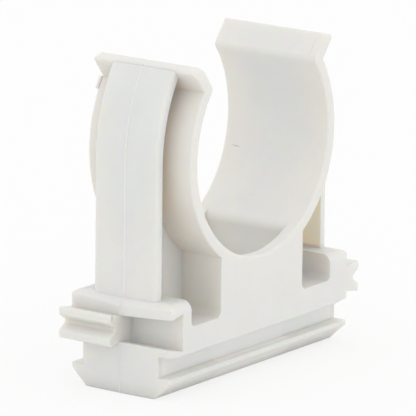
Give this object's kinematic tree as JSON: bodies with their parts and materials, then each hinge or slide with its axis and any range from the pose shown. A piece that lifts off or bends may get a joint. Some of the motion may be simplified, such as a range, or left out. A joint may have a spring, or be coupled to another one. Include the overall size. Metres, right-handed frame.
{
  "type": "pipe clip",
  "caption": "Open snap-in pipe clip: a springy round seat with flared lips and side straps on a base block that has a rail foot, a screw well and snap couplers at both ends.",
  "frame": {"origin": "middle of the rail foot's underside, which lies against the wall or floor", "axes": "+Z from the foot to the open mouth, +Y along the pipe, +X across the jaws towards one coupler end"},
  "size_m": [0.0396, 0.0149, 0.038],
  "materials": {
    "moulded_polypropylene": "white moulded polypropylene, satin"
  },
  "bodies": {
    "root": {"pipe_clip": "moulded_polypropylene"}
  },
  "joints": []
}
